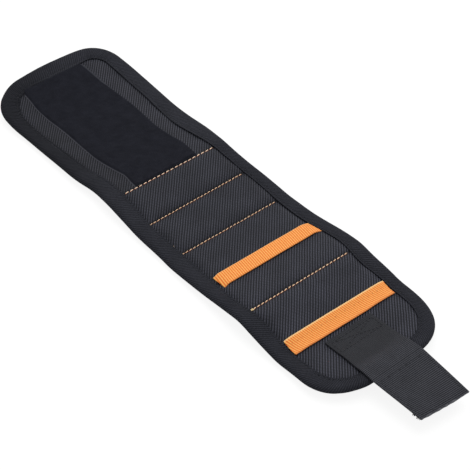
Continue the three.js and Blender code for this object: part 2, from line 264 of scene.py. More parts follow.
def end_shift(along, across, reach):
    """How far the hand-cut ends move a place along the band, fading out over reach from each end."""
    stations = np.linspace(-end_stations_half, end_stations_half, len(loop_end_strays))
    both_ends = (loop_end_strays, strap_end_strays)
    loop, strap = (np.interp(across, stations, strays) / 1000 for strays in both_ends)
    return strap * smooth_step(1 - (band_length - along) / reach) - loop * smooth_step(1 - along / reach)


def room_inside(along, across):
    """Distance of a place on the band from the inner edge of the binding beside it."""
    near, far = (half_width(along, side, by_hand(lap_widths, along, side)) for side in both_sides)
    return np.where(across < 0, near, far) - np.abs(across)


def fill_between(along, near, far, count):
    share = np.linspace(0, 1, count)
    return along[:, None] + 0 * share, near[:, None] * (1 - share) + far[:, None] * share


def swell(along, across):
    """0 on every quilted line and under the binding, 1 where a pocket is full."""
    sewn = as_sewn(along, across)
    full = np.zeros(np.shape(sewn))
    for start, end in zip(sewn_stops[:-1], sewn_stops[1:]):
        slope = (end - start) / 2 - crown_half
        share = np.clip((sewn - start) / slope, 0, 1) * np.clip((end - sewn) / slope, 0, 1)
        full = np.maximum(full, rounded(share))
    return full * rounded(room_inside(along, across) / edge_slope)


def seam_nearness(along, across, width):
    """1 on a sewn cross seam and 0 a few widths away from it."""
    sewn = as_sewn(along, across)
    return sum(ridge(sewn - s, width) for s in sewn_stops)


def read_smoothly(grid, rows, columns):
    """Values of a grid between its points, through a smooth cubic kernel."""
    starts, weights = [], []
    for place in (rows, columns):
        start = np.floor(place).astype(int)
        f = place - start
        starts.append(start)
        weights.append([(1 - f) ** 3 / 6, (3 * f ** 3 - 6 * f ** 2 + 4) / 6,
                        (-3 * f ** 3 + 3 * f ** 2 + 3 * f + 1) / 6, f ** 3 / 6])
    total = np.zeros(np.shape(rows))
    for a in range(4):
        for b in range(4):
            i = np.clip(starts[0] + a - 1, 0, grid.shape[0] - 1)
            j = np.clip(starts[1] + b - 1, 0, grid.shape[1] - 1)
            total += weights[0][a] * weights[1][b] * grid[i, j]
    return total


def unevenness(along, across, size, seed):
    """Smooth irregular values from about -1 to 1 that change over that size."""
    room_along, room_across, before_end = 0.45, 0.14, 0.02
    rows, columns = int(room_along / size) + 4, int(room_across / size) + 4
    grid = np.random.default_rng(seed).uniform(-2, 2, (rows, columns))
    along, across = np.broadcast_arrays(np.asarray(along, float), np.asarray(across, float))
    return read_smoothly(grid, (along + before_end) / size, (across + room_across / 2) / size)


def grid_faces(rows, columns, flipped=False):
    i, j = np.meshgrid(np.arange(rows - 1), np.arange(columns - 1), indexing="ij")
    a = (i * columns + j).ravel()
    faces = np.stack([a, a + columns, a + columns + 1, a + 1], -1)
    return faces[:, ::-1] if flipped else faces


def sewn_piece(name, points, faces, flat, look):
    """A smooth mesh whose UV map holds the flat pattern in metres."""
    mesh = bpy.data.meshes.new(name)
    mesh.from_pydata(points.reshape(-1, 3).tolist(), [], [tuple(face) for face in np.asarray(faces).tolist()])
    pattern = mesh.uv_layers.new(name="flat_pattern")
    loops = np.zeros(len(mesh.loops), np.int32)
    mesh.loops.foreach_get("vertex_index", loops)
    pattern.data.foreach_set("uv", flat.reshape(-1, 2)[loops].astype(np.float32).ravel())
    mesh.polygons.foreach_set("use_smooth", np.ones(len(mesh.polygons), bool))
    mesh.materials.append(look.material)
    mesh.update()
    piece = bpy.data.objects.new(name, mesh)
    bpy.context.scene.collection.objects.link(piece)
    return piece


def dye(red, green, blue):
    """A colour as read from 0 to 255 on a screen, as light values."""
    screen = (red, green, blue)
    return (*(((c / 255 + 0.055) / 1.055) ** 2.4 if c > 10.3 else c / 255 / 12.92 for c in screen), 1)


class Tone:
    """A value in the nodes of a look. Its sums and products with numbers and other tones are nodes too."""

    def __init__(self, tree, socket):
        self.tree, self.socket = tree, socket

    def worked(self, operation, *values):
        node = self.tree.nodes.new("ShaderNodeMath")
        node.operation = operation
        for socket, value in zip(node.inputs, (self, *values)):
            if isinstance(value, Tone):
                self.tree.links.new(value.socket, socket)
            else:
                socket.default_value = value
        return Tone(self.tree, node.outputs[0])

    def __add__(self, other):
        return self.worked("ADD", other)

    def __sub__(self, other):
        return self.worked("SUBTRACT", other)

    def __mul__(self, other):
        return self.worked("MULTIPLY", other)

    def clamped(self):
        return Tone(self.tree, node_of(self.tree, "ShaderNodeClamp", Value=self.socket).outputs[0])

    def ramp(self, start, end):
        """0 at the start value and 1 at the end value, straight between them."""
        return (self * (1 / (end - start)) - start / (end - start)).clamped()


class Look:
    """A surface drawn on the flat pattern of a sewn piece, or on the body of a solid one."""

    def __init__(self, name, roughness, sheen=0.0, sheen_roughness=0.4, specular=0.35, solid=False):
        self.material = bpy.data.materials.new(name)
        self.material.use_nodes = True
        self.tree = self.material.node_tree
        self.shader = self.tree.nodes["Principled BSDF"]
        self.shader.inputs["Roughness"].default_value = roughness
        self.shader.inputs["Sheen Weight"].default_value = sheen
        self.shader.inputs["Sheen Roughness"].default_value = sheen_roughness
        self.shader.inputs["Specular IOR Level"].default_value = specular
        if solid:
            self.flat = self.tree.nodes.new("ShaderNodeTexCoord").outputs["Object"]
        else:
            pattern = self.tree.nodes.new("ShaderNodeUVMap")
            pattern.uv_map = "flat_pattern"
            self.flat = pattern.outputs[0]

    def place(self, axis):
        """The X or the Y of the flat pattern, in metres."""
        return Tone(self.tree, node_of(self.tree, "ShaderNodeSeparateXYZ", Vector=self.flat).outputs[axis])

    def ribs(self, degrees, pitch, wobble=0.0):
        """A wave from 0 to 1 over the flat pattern, in that direction, once every pitch."""
        angle = math.radians(degrees)
        direction = (math.cos(angle) / pitch, math.sin(angle) / pitch, 0)
        step = node_of(self.tree, "ShaderNodeVectorMath", _0=self.flat, _1=direction)
        step.operation = "DOT_PRODUCT"
        turn = Tone(self.tree, step.outputs["Value"]) * (2 * math.pi) + wobble
        return turn.worked("SINE") * 0.5 + 0.5

    def spots(self, size, detail=3):
        """Soft irregular spots of about that size, from 0 to 1."""
        noise = node_of(self.tree, "ShaderNodeTexNoise", Vector=self.flat, Scale=1 / size, Detail=detail)
        return Tone(self.tree, noise.outputs["Fac"])

    def mixed(self, share, dark, light):
        mix = self.tree.nodes.new("ShaderNodeMix")
        mix.data_type = "RGBA"
        sockets = {socket.identifier: socket for socket in (*mix.inputs, *mix.outputs)}
        self.tree.links.new(share.socket, sockets["Factor_Float"])
        for socket, colour in ((sockets["A_Color"], dark), (sockets["B_Color"], light)):
            if isinstance(colour, bpy.types.NodeSocket):
                self.tree.links.new(colour, socket)
            else:
                socket.default_value = colour
        return sockets["Result_Color"]

    def colour(self, share, dark, light):
        self.tree.links.new(self.mixed(share, dark, light), self.shader.inputs["Base Color"])

    def dull(self, roughness):
        self.tree.links.new(roughness.socket, self.shader.inputs["Roughness"])

    def relief(self, height, distance):
        bump = node_of(self.tree, "ShaderNodeBump", Height=height.socket, Distance=distance)
        self.tree.links.new(bump.outputs["Normal"], self.shader.inputs["Normal"])


mesh_look = Look("lining_air_mesh", 0.9, 0.03, 0.6, 0.08)
cells = node_of(mesh_look.tree, "ShaderNodeTexVoronoi", Vector=mesh_look.flat, Scale=430, Randomness=0.25)
cells.feature = "DISTANCE_TO_EDGE"
mesh_bars = (Tone(mesh_look.tree, cells.outputs["Distance"]) * -3.2 + 1.0).worked("MAXIMUM", 0.0)
mesh_fuzz = mesh_look.spots(0.0005)
mesh_look.colour(mesh_bars * mesh_fuzz, dye(10, 10, 12), dye(58, 58, 64))
mesh_look.relief(mesh_fuzz * 0.3 + mesh_bars, 0.0006)

lining_thickness, stack_half, lining_rise = 0.0014, 0.0012, 0.0015
layer_edge, layer_end_reach = 0.0010, 0.013
seam_hollow, hollow_width, pocket_tuck = 0.0003, 0.0012, 0.0010
belly_depth, belly_width, belly_edge = 0.0003, 0.003, 0.004
end_cut, strap_cut = 0.030, band_stops[-2] + 0.013
seam_line_gaps, seam_line_room = (-0.0012, -0.0006, 0, 0.0006, 0.0012), 0.00125
cuts = [0.0, end_cut] + [(a + b) / 2 for a, b in zip(band_stops[1:-2], band_stops[2:-1])]
cuts += [strap_cut, band_length]


def lines_along(start, end, step):
    """Grid lines from start to end, closer together beside a sewn seam."""
    lines = list(np.linspace(start, end, max(2, round((end - start) / step) + 1)))
    rows = (band_stops + (askew_near + askew_far) / 2)[3:-1]
    for s in rows:
        lines += [s + gap for gap in seam_line_gaps if start < s + gap < end]
    lines = sorted(lines)
    kept = [lines[0]]
    for line in lines[1:-1]:
        least = 0.0004 if min(abs(line - s) for s in rows) < seam_line_room else 0.0005
        if line - kept[-1] > least and lines[-1] - line > 0.0004:
            kept.append(line)
    return np.array(kept + [lines[-1]])


def layer_grid(part, trim, step, count):
    """Flat grid of one part of a layer, cut a little inside the outline of the band."""
    along = lines_along(max(cuts[part], trim), min(cuts[part + 1], band_length - trim), step)
    near, far = (half_width(along, side, layer_edge) for side in both_sides)
    return along, near, far, *fill_between(along, -near, far, count)


def ride_or_bend(piece, part, reach=0.007):
    """The two end parts ride on their section; each part between keeps the place it was laid in."""
    if part == 0:
        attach(piece, "loop_1_section")
    elif part == last_part:
        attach(piece, "strap_panel_section")
    else:
        s = band_stops[part]
        reach = 0.010 if part < 3 else reach
        before, after = on_band([s - reach, s + reach], 0, 0)
        f"{section_order[part - 1]}_section"
        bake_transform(piece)


def nodes_under(part, kind):
    """The solids of that kind below a part: one section's at the ends, two sections' between them."""
    return [f"{section}_{kind}" for section in section_order[max(part - 1, 0):part + 1]]


for part, part_name in enumerate(part_names):
    along, _, _, s, y = layer_grid(part, 0.0014, 0.0014, 61)
    puff = swell(s, y)
    near, far = (half_width(along, side, 0)[:, None] for side in both_sides)
    free = smooth_step((np.minimum(near + y, far - y) - binding_lap + layer_edge) / belly_edge)
    belly = belly_depth * free * (1 - seam_nearness(s, y, belly_width)) * (puff == 0)
    under = -stack_half - lining_rise * puff - belly + seam_hollow * seam_nearness(s, y, hollow_width) * free
    over = -stack_half + lining_thickness + pocket_tuck * puff
    s = s + end_shift(s, y, layer_end_reach)
    index = np.arange(s.size).reshape(s.shape)
    border = np.concatenate([index[:-1, 0], index[-1, :-1], index[:0:-1, -1], index[0, :0:-1]])
    after = np.roll(border, -1)
    walls = np.stack([border, after, after + s.size, border + s.size], -1)
    faces = np.concatenate([grid_faces(*s.shape, flipped=True), grid_faces(*s.shape) + s.size, walls])
    points = np.stack([on_band(s, y, under), on_band(s, y, over)])
    flat = np.stack([np.stack([s, y], -1)] * 2)
    pad = sewn_piece(f"lining_pad_{part_name}", points, faces, flat, mesh_look)
    ride_or_bend(pad, part)
    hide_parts(*nodes_under(part, "lining"))

# Fifteen nickel-plated disc magnets, three in each pocket, lie sealed between the
# padding and the face fabric. Their plating is bright with a fine brushed haze.
magnet_look = Look("magnet_nickel_plate", 0.5, specular=0.5, solid=True)
magnet_look.shader.inputs["Metallic"].default_value = 1.0
magnet_haze = magnet_look.spots(0.0016, 5)
magnet_look.colour(magnet_haze, dye(176, 178, 182), dye(214, 214, 212))
magnet_look.dull(magnet_haze * 0.2 + 0.16)
magnet_look.relief(magnet_look.spots(0.0003, 4), 0.00002)
for name, node in frame["nodes"].items():
    if "magnet" in name:
        node.data.materials.clear()
        node.data.materials.append(magnet_look.material)

# The face is one long sheet of coarse ballistic nylon with a diagonal rib, sewn down
# along the cross seams and round the edge. The padding pushes it up into soft pillows,
# and the thread draws it in, so it puckers a little beside each seam.
face_look = Look("face_ballistic_nylon", 0.62, 0.01, specular=0.14)
face_twill = face_look.ribs(47.5, 0.00148, face_look.spots(0.006) * 2.2)
face_weave = face_twill * (face_look.ribs(-58, 0.00195) * 0.3 + 0.7)
face_fibre, face_patch = face_look.spots(0.00035, 2), face_look.spots(0.014)
along_face, across_face = face_look.place("X"), face_look.place("Y")
# Painted shade: the face is darker towards the loop end, and darker again on the strip beside the near edge
# of the loop panel.
shaded_near_strip = along_face.ramp(0.136, 0.124) * across_face.ramp(-0.010, -0.026)
face_tone = (face_weave * 0.85 + 0.05) * (face_patch * 0.9 + 0.45) * (face_fibre * 0.7 + 0.65)
face_tone = face_tone * (along_face.ramp(0.20, 0.26) * 0.21 + 0.79) * (shaded_near_strip * -0.27 + 1.0)
# Painted shade in the drawn-in hollow beside each of these sewn rows: the face is darker within about 1.7 mm
# of the row.
for name in ("loop_seam_bend", "pocket_seam_1_bend", "pocket_seam_2_bend", "pocket_seam_4_bend"):
    part = seam_order.index(name) + 1
    lean = float(askew_far[part] - askew_near[part]) / (2 * askew_reach)
    sewn_at = float(seam_s[name] + (askew_near[part] + askew_far[part]) / 2)
    from_row = (across_face * -lean + along_face - sewn_at).worked("ABSOLUTE")
    face_tone = face_tone * (from_row.ramp(0.0017, 0.0006) * -0.6 + 1.0)
face_look.colour(face_tone, dye(4, 5, 8), dye(75, 76, 87))
face_look.dull(face_weave * -0.2 + 0.72)
face_look.relief(face_fibre * 0.25 + face_weave, 0.00028)

pile_near_line = np.array([
    (10, -25.4), (21, -25.9), (29, -26.8), (41, -26.4), (49, -25.5), (59, -25.1), (75, -25.5), (90, -25.7),
    (99, -24.7), (107, -23.4), (113, -22.2), (117, -22.2), (121, -23.1), (128, -23.6)]).T / 1000
pile_far_line = np.array([
    (10, 21.6), (21, 22.5), (35, 23.4), (56, 24.6), (65, 24.5), (75, 23.8), (87, 22.8), (98, 23.0),
    (106, 23.9), (113, 24.8), (119, 24.3), (128, 23.5)]).T / 1000
strap_half, strap_middle = 0.0172, -0.0016
face_rise, most_drawn, easily_drawn = 0.001104, 0.00099, 0.0016
rise_step, rise_half = 0.002, 0.042


def flat_cloth_rise():
    """Heights of the face after a short cloth simulation, on a flat grid sewn down round the pockets."""
    along = np.arange(0, band_length + rise_step, rise_step)
    across = np.arange(-rise_half, rise_half + 0.0001, rise_step)
    s, y = np.meshgrid(along, across, indexing="ij")
    end_lap, pile_low, pile_high, root_start = 0.0105, -0.0262, 0.0216, band_stops[-2] + 0.007
    free = (room_inside(s, y) > 0.0005) & (s > end_lap) & (s < band_length - end_lap)
    for stop in sewn_stops:
        free &= np.abs(as_sewn(s, y) - stop) > rise_step / 2
    free &= ~((s < loop_panel) & (y > pile_low) & (y < pile_high))
    free &= ~((s > root_start) & (np.abs(y - strap_middle) < strap_half))
    scale, start_rise = 25.0, 0.0002
    mesh = bpy.data.meshes.new("flat_face")
    points = np.stack([s, y, start_rise * swell(s, y)], -1).reshape(-1, 3) * scale
    mesh.from_pydata(points.tolist(), [], grid_faces(*s.shape).tolist())
    flat_face = bpy.data.objects.new("flat_face", mesh)
    scene = bpy.context.scene
    scene.collection.objects.link(flat_face)
    held = flat_face.vertex_groups.new(name="sewn_down")
    held.add(np.flatnonzero(~free.ravel()).tolist(), 1.0, "REPLACE")
    cloth = flat_face.modifiers.new("Cloth", "CLOTH")
    for setting, value in (
        ("vertex_group_mass", "sewn_down"), ("quality", 6), ("mass", 0.25), ("tension_stiffness", 12),
        ("compression_stiffness", 12), ("shear_stiffness", 4), ("bending_stiffness", 0.15),
        ("shrink_min", -0.02), ("use_pressure", True), ("uniform_pressure_force", 2.2),
    ):
        setattr(cloth.settings, setting, value)
    cloth.settings.effector_weights.gravity = 0
    cloth.collision_settings.use_collision = False
    cloth.point_cache.frame_start = 1
    cloth.point_cache.frame_end = 30
    for number in range(1, 25):
        scene.frame_set(number)
    settled = flat_face.evaluated_get(bpy.context.evaluated_depsgraph_get())
    co = np.zeros(s.size * 3)
    settled.to_mesh().vertices.foreach_get("co", co)
    rise = np.where(free, co.reshape(*s.shape, 3)[..., 2] / scale, 0)
    settled.to_mesh_clear()
    bpy.data.objects.remove(flat_face)
    bpy.data.meshes.remove(mesh)
    scene.frame_set(1)
    return rise


rise_grid = flat_cloth_rise()


def face_height(along, across):
    """Height of the face above the middle of the stack."""
    drawn = read_smoothly(rise_grid, along / rise_step, (across + rise_half) / rise_step)
    lift = face_rise * swell(along, across) + most_drawn * np.tanh(drawn / easily_drawn)
    room = room_inside(along, across)
    pucker = 0.00040 * seam_nearness(along, across, 0.0009) * smooth_step((room + 0.001) / 0.002)
    beside_binding = 0.0003 * ridge(room - 0.0002, 0.0006)
    return stack_half + lift - pucker - beside_binding


for part, part_name in enumerate(part_names):
    along, cut_near, cut_far, s, y = layer_grid(part, 0.0012, 0.0010, 85)
    height = face_height(s, y)
    s = s + end_shift(s, y, layer_end_reach)
    flat = np.stack([s, y], -1)
    points = on_band(s, y, height)
    sheet = sewn_piece(f"face_fabric_{part_name}", points, grid_faces(*s.shape), flat, face_look)
    ride_or_bend(sheet, part)
    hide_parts(*nodes_under(part, "face"))
    float((cut_near + cut_far).max())
    float(along[-1] - along[0])
    float(np.trapz(cut_near + cut_far, along))

# The soft half of the fastener is a panel of short black loop pile on a woven ground.
# Its two long selvages are bare and flat, and it is sewn to the face close to them.
pile_height, ground_height, pile_flat_width, pile_corner = 0.0024, 0.0018, 0.047, 0.005
pile_start, pile_stop = 0.0104, loop_panel - 0.0005
pile_look = Look("loop_pile_velvet", 1.0, 0.02, specular=0.03)
loops_fine, loops_wide = pile_look.spots(0.0005), pile_look.spots(0.006, 4)
from_near_edge = pile_look.place("Y")
from_far_edge = from_near_edge * -1 + pile_flat_width
bare_width = (pile_look.place("X") * -60 + 2.9) * 0.0018 + 0.0004
bare_width = bare_width.worked("MAXIMUM", 0.0007).worked("MINIMUM", 0.0022)
selvage_line = from_near_edge.ramp(0.0006, 0.0003).worked("MAXIMUM", from_far_edge.ramp(0.0007, 0.0004))
pile_colour = pile_look.mixed(loops_fine * (loops_wide * 0.7 + 0.45), dye(8, 9, 12), dye(50, 51, 60))
bare_ground = pile_look.mixed(loops_fine, dye(42, 43, 48), dye(64, 65, 72))
pile_colour = pile_look.mixed((bare_width - from_far_edge).ramp(0, 0.0004), pile_colour, bare_ground)
pile_look.colour(selvage_line, pile_colour, pile_look.mixed(loops_fine, dye(54, 55, 60), dye(88, 89, 96)))
pile_look.relief(loops_fine, 0.0005)


def pile_edges(along):
    """Near and far edge of the panel, cut and laid by hand and so not quite straight."""
    return [np.mean([np.interp(along + d, *line) for d in np.linspace(-0.002, 0.002, 5)], axis=0)
            for line in (pile_near_line, pile_far_line)]


def pile_surface(along, across):
    near, far = pile_edges(along)
    from_side = np.minimum(across - near, far - across)
    from_end = np.minimum(along - pile_start, pile_stop - along)
    raised = smooth_step((from_side - 0.0009) / 0.0008) * smooth_step(from_end / 0.0008)
    edge = smooth_step(np.minimum(from_side, from_end) / 0.0005)
    tuft = 0.00016 * unevenness(along, across, 0.0012, 5) + 0.00012 * unevenness(along, across, 0.004, 6)
    return stack_half + (ground_height - stack_half) * edge + (pile_height - ground_height + tuft) * raised


for part in range(4):
    start, stop = max(cuts[part], pile_start), min(cuts[part + 1], pile_stop)
    along = np.unique(np.append(np.arange(start, stop, 0.0008), stop))
    near, far = pile_edges(along)
    to_corner = np.clip(pile_corner - (along - pile_start), 0, pile_corner) * (part == 0)
    inset = pile_corner - np.sqrt(np.maximum(pile_corner ** 2 - to_corner ** 2, 0))
    s, y = fill_between(along, near + inset, far - inset, 62)
    flat = np.stack([s, (y - near[:, None]) / (far - near)[:, None] * pile_flat_width], -1)
    points = on_band(s, y, pile_surface(s, y))
    panel = sewn_piece(f"loop_pile_{part_names[part]}", points, grid_faces(*s.shape), flat, pile_look)
    ride_or_bend(panel, part)
    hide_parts(*[node for node in nodes_under(part, "pile") if node.startswith("loop")])
    float((far - near).mean())
    float(along[-1] - along[0])

# Heavy twisted polyester thread, lockstitched through every layer. The cross seams
# are orange on the face, pale on top from a painted highlight, and black underneath. The first is heaviest.
thread_round, stitch_pattern = 0.0003, 0.0024
stitch_shares = np.array([0.0, 0.06, 0.2, 0.4, 0.6, 0.8, 0.94, 1.0])
stitch_girth_shares = np.array([0.25, 0.75, 1.0, 1.05, 1.05, 1.0, 0.75, 0.25])
stitch_lift_shares = np.array([-1.3, -0.2, 0.55, 0.8, 0.8, 0.55, -0.2, -1.3])


def thread_look_of(name, dark, light, gloss=0.35):
    """Twisted thread: a painted highlight makes its crown pale, and painted shade deepens its colour on its
    flanks and near the holes.
    """
    look = Look(name, 0.5, 0.05, specular=gloss)
    twist = look.ribs(32, 0.00042)
    # Painted shade where each stitch turns down into its holes and on the flanks of the thread, and a painted
    # highlight on its crown.
    unshaded_between_holes = ((look.place("X") * (math.pi / stitch_pattern)).worked("SINE") * 3.2 - 0.6).clamped()
    lit_crown = ((look.place("Y") * (1 / thread_round)).worked("SINE") * 3.4 - 1.4).clamped()
    look.colour(unshaded_between_holes * (twist * 0.2 + 0.8) * lit_crown, dark, light)
    look.relief(twist, 0.00012)
    return look


orange_thread = thread_look_of("thread_light_orange", dye(226, 94, 12), dye(255, 236, 205), 0.9)
cream_thread = thread_look_of("thread_cream_orange", dye(230, 98, 10), dye(255, 229, 187), 0.9)
black_thread = thread_look_of("thread_black", dye(12, 12, 14), dye(46, 47, 53), 0.2)


def tube_faces(rings, sides, copies=1, turned=False):
    """Faces round tubes whose points are listed ring by ring and tube by tube."""
    ring, side = np.meshgrid(np.arange(rings - 1), np.arange(sides), indexing="ij")
    a, b = (ring * sides + side).ravel(), (ring * sides + (side + 1) % sides).ravel()
    faces = np.stack([a, a + sides, b + sides, b], -1)
    if turned:
        faces = faces[:, ::-1]
    return (faces[None] + (np.arange(copies) * rings * sides)[:, None, None]).reshape(-1, 4)


def stitches(starts, ends, surface, radius, place, up=1.0, sunk=0.00018):
    """Round stitches between pairs of flat points, their ends pulled down into the cloth."""
    starts, ends = np.asarray(starts, float), np.asarray(ends, float)
    run = ends - starts
    side = np.stack([-run[:, 1], run[:, 0]], -1) / np.hypot(run[:, 0], run[:, 1])[:, None]
    turns_round = np.linspace(0, 2 * math.pi, 7)[:-1]
    girth = stitch_girth_shares[:, None] * radius
    middle = starts[:, None, :] + run[:, None, :] * stitch_shares[None, :, None]
    height = surface(middle[..., 0], middle[..., 1]) + up * (radius * stitch_lift_shares - sunk)[None, :]
    flat = middle[:, :, None, :] + side[:, None, None, :] * (girth * np.cos(turns_round))[None, :, :, None]
    tall = height[:, :, None] + up * (girth * np.sin(turns_round))[None, :, :]
    points = place(flat[..., 0], flat[..., 1], tall)
    along_thread = stitch_shares[None, :, None] * stitch_pattern + 0 * tall
    round_thread = np.broadcast_to(turns_round * thread_round, tall.shape)
    faces = tube_faces(len(stitch_shares), len(turns_round), len(starts), turned=up < 0)
    return points.reshape(-1, 3), faces, np.stack([along_thread, round_thread], -1).reshape(-1, 2)


def thread_piece(name, batches, look):
    """One mesh of all the stitches of a run, or of several that ride together."""
    points, faces, patterns = zip(*batches)
    begins = np.cumsum([0] + [len(batch) for batch in points[:-1]])
    faces = np.concatenate([batch + begin for batch, begin in zip(faces, begins)])
    return sewn_piece(name, np.concatenate(points), faces, np.concatenate(patterns), look)


def row_of_stitches(start, end, pitch, share, jitter, seed, slant=0.0):
    """Start and end points of the stitches that fit on a straight line, each a little aslant."""
    start, end = np.asarray(start, float), np.asarray(end, float)
    count = max(1, round(np.hypot(*(end - start)) / pitch))
    along = (end - start) / count
    across = np.array([-along[1], along[0]]) / np.hypot(*along)
    loose = np.random.default_rng(seed).uniform(-jitter, jitter, (count, 2))
    number = np.arange(count)[:, None]
    first_points = start + along * (number + (1 - share) / 2) + across * (loose[:, :1] - slant)
    last_points = start + along * (number + (1 + share) / 2) + across * (loose[:, 1:] + slant)
    return first_points, last_points


def sew(name, stitch_ends, surface, radius, look, part, reach=0.007, **how):
    """A row of stitches on one part of the band, as a piece placed like that part."""
    thread = thread_piece(name, [stitches(*stitch_ends, surface, radius, on_band, **how)], look)
    ride_or_bend(thread, part, reach)


def pad_underside(along, across):
    hollow = seam_hollow * seam_nearness(along, across, hollow_width)
    return -stack_half + hollow - lining_rise * swell(along, across)


for name, pitch, share, radius, look, reach in (
    ("loop_seam_bend", 0.0033, 0.84, 0.00034, orange_thread, 0.0352),
    ("pocket_seam_1_bend", 0.00275, 0.85, 0.00029, cream_thread, 0.0352),
    ("pocket_seam_2_bend", 0.00275, 0.85, 0.00029, cream_thread, 0.0354),
    ("pocket_seam_4_bend", 0.00285, 0.82, 0.00033, cream_thread, 0.0350),
):
    part = seam_order.index(name) + 1
    near_end, far_end = (seam_s[name] + askew_near[part], -reach), (seam_s[name] + askew_far[part], reach)
    top_row = row_of_stitches(near_end, far_end, pitch, share, 0.00008, part, slant=0.0002)
    sew(f"thread_{part_names[part]}", top_row, face_height, radius, look, part, sunk=0.0)
loose_end = [
    np.array([(0.1772, -0.0347), (0.1822, -0.0352), (0.1842, -0.0350)]),
    np.array([(0.1783, -0.0349), (0.1830, -0.0353), (0.1852, -0.0354)]),
]
sew("thread_loose_end", loose_end, face_height, 0.00030, cream_thread, 5, sunk=0.0)
knot_at = (seam_s["pocket_seam_4_bend"] - 0.0012, -0.0356)
knot_look = thread_look_of("thread_tan_knot", dye(120, 84, 40), dye(242, 214, 160))
knot = [
    np.array([(-0.0008, -0.0010), (0.0007, -0.0012), (-0.0003, -0.0014), (0.0003, -0.0016)]) + knot_at,
    np.array([(0.0006, 0.0009), (-0.0008, 0.0011), (0.0003, 0.0014), (-0.0004, 0.0013)]) + knot_at,
]
sew("thread_back_tack", knot, face_height, 0.00042, knot_look, 7, sunk=-0.0001)
bobbin_reach = 0.0352
for part in range(3, last_part):
    near_end = (band_stops[part] + askew_near[part], -bobbin_reach)
    far_end = (band_stops[part] + askew_far[part], bobbin_reach)
    under_row = row_of_stitches(near_end, far_end, 0.0029, 0.8, 0.0001, 40 + part)
    sew(f"bobbin_thread_{part_names[part]}", under_row, pad_underside, 0.00026, black_thread, part,
        up=-1.0, sunk=0.0)

# Two bright orange grosgrain tapes hold tools. One arches over the seam after the third
# pocket and is caught only at its ends, the other is sewn down along its middle.
tape_look = Look("tape_orange_grosgrain", 0.6, 0.04, specular=0.3)
tape_rib_pitch, woven_rib_height = 0.00143, 0.00004
tape_ribs = tape_look.ribs(90, tape_rib_pitch, tape_look.spots(0.004, 2) * 1.2)
tape_warps = tape_look.ribs(0, 0.00052)
tape_offset = tape_look.place("X")
tape_tone = (tape_ribs * 0.9 + 0.1) * (tape_warps * 0.2 + 0.8) * (tape_look.spots(0.0004) * 0.6 + 0.7)
tape_colour = tape_look.mixed(tape_tone, dye(230, 97, 13), dye(254, 191, 99))
# Painted highlight on the selvage of each tape that faces the loop end, and painted shade on the selvage that
# faces the strap end.
tape_colour = tape_look.mixed(tape_offset.ramp(-0.0047, -0.0054) * 0.7, tape_colour, dye(255, 222, 158))
tape_look.colour(tape_offset.ramp(0.0046, 0.0056) * 0.6, tape_colour, dye(190, 98, 44))
tape_look.relief(tape_warps * 0.25 + tape_ribs, 0.00016)


def flat_ring(width, thickness, across_count):
    """Offsets round the section of a woven tape: flat top, rounded selvages, flat bottom."""
    half, edge = width / 2, thickness / 2
    top = [(w, edge) for w in np.linspace(-half + edge, half - edge, across_count)]
    bends = np.linspace(math.pi / 2, -math.pi / 2, 6)[1:-1]
    right = [(half - edge + edge * math.cos(a), edge * math.sin(a)) for a in bends]
    return np.array(top + right + [(w, -t) for w, t in top[::-1]] + [(-w, -t) for w, t in right])


def woven_rib(along, pitch, depth):
    return woven_rib_height * np.cos(2 * math.pi * along / pitch) * np.sign(depth)


def woven_strip(name, along, ring, centre, level, look, place, crosswise, slew=0.0, cut=None):
    """A closed tape or strap: the ring set at every station, with both ends closed."""
    stations, around = len(along), len(ring)
    width_offset, depth = (np.broadcast_to(offsets, (stations, around)) for offsets in ring.T)
    run = np.repeat(along[:, None], around, 1)
    if cut:
        run = run * cut(run, width_offset) / along[-1]
    sideways = centre(run) + width_offset
    height = level(run, sideways, depth)
    points = place(sideways, run, height) if crosswise else place(run, sideways, height)
    flat = np.stack([width_offset, run + slew * width_offset] if crosswise else [run, width_offset], -1)
    caps = []
    for base, turned in ((0, False), ((stations - 1) * around, True)):
        for k in range(around // 2 - 1):
            cap = (base + k, base + k + 1, base + around - 2 - k, base + (around - 1 - k) % around)
            caps.append(cap[::-1] if turned != crosswise else cap)
    faces = np.concatenate([tube_faces(stations, around, turned=crosswise), np.array(caps)])
    return sewn_piece(name, points, faces, flat, look)


tape_width, flat_tape_width, tape_thickness, tape_bend_reach = 0.0108, 0.0117, 0.0007, 0.0055
arch_slew, flat_slew = 0.19, -0.25
tape_half = half_band - binding_lap - 0.0002
tape_stations = np.linspace(-tape_half, tape_half, 223)
arch_ends = {near_side: (0.0350, 0.0350), far_side: (0.0356, 0.0368)}
flat_ends = {near_side: (0.0355, 0.0362), far_side: (0.0374, 0.0364)}


def cut_end(ends, width):
    """Half length of a tape at a place of its width, because its ends are cut a little askew."""
    def half_length(across, offset):
        share = np.clip(offset / width + 0.5, 0, 1)
        near, far = ((1 - share) * ends[side][0] + share * ends[side][1] for side in both_sides)
        return np.where(across < 0, near, far)

    return half_length


def tape_middle(part):
    """Middle line of the tape over that seam, which is sewn a little askew."""
    return lambda across: band_stops[part] + np.interp(
        across, [-askew_reach, askew_reach], [askew_near[part], askew_far[part]])


arch_cut, arch_middle, flat_middle = cut_end(arch_ends, tape_width), tape_middle(6), tape_middle(8)


def arched_level(along, sideways, depth):
    from_middle = sideways - arch_middle(along)
    from_end = arch_cut(along, from_middle) - np.abs(along)
    rise = rounded(from_end / np.where(along < 0, 0.0045, 0.007))
    slack = 0.00018 * unevenness(along, 0.0, 0.011, 21)
    round_over = 0.00025 * (1 - (from_middle / (tape_width / 2)) ** 2)
    rib = woven_rib(along + arch_slew * from_middle, tape_rib_pitch, depth)
    return stack_half + 0.00055 + tape_thickness / 2 + (0.0017 + slack) * rise + round_over + depth + rib


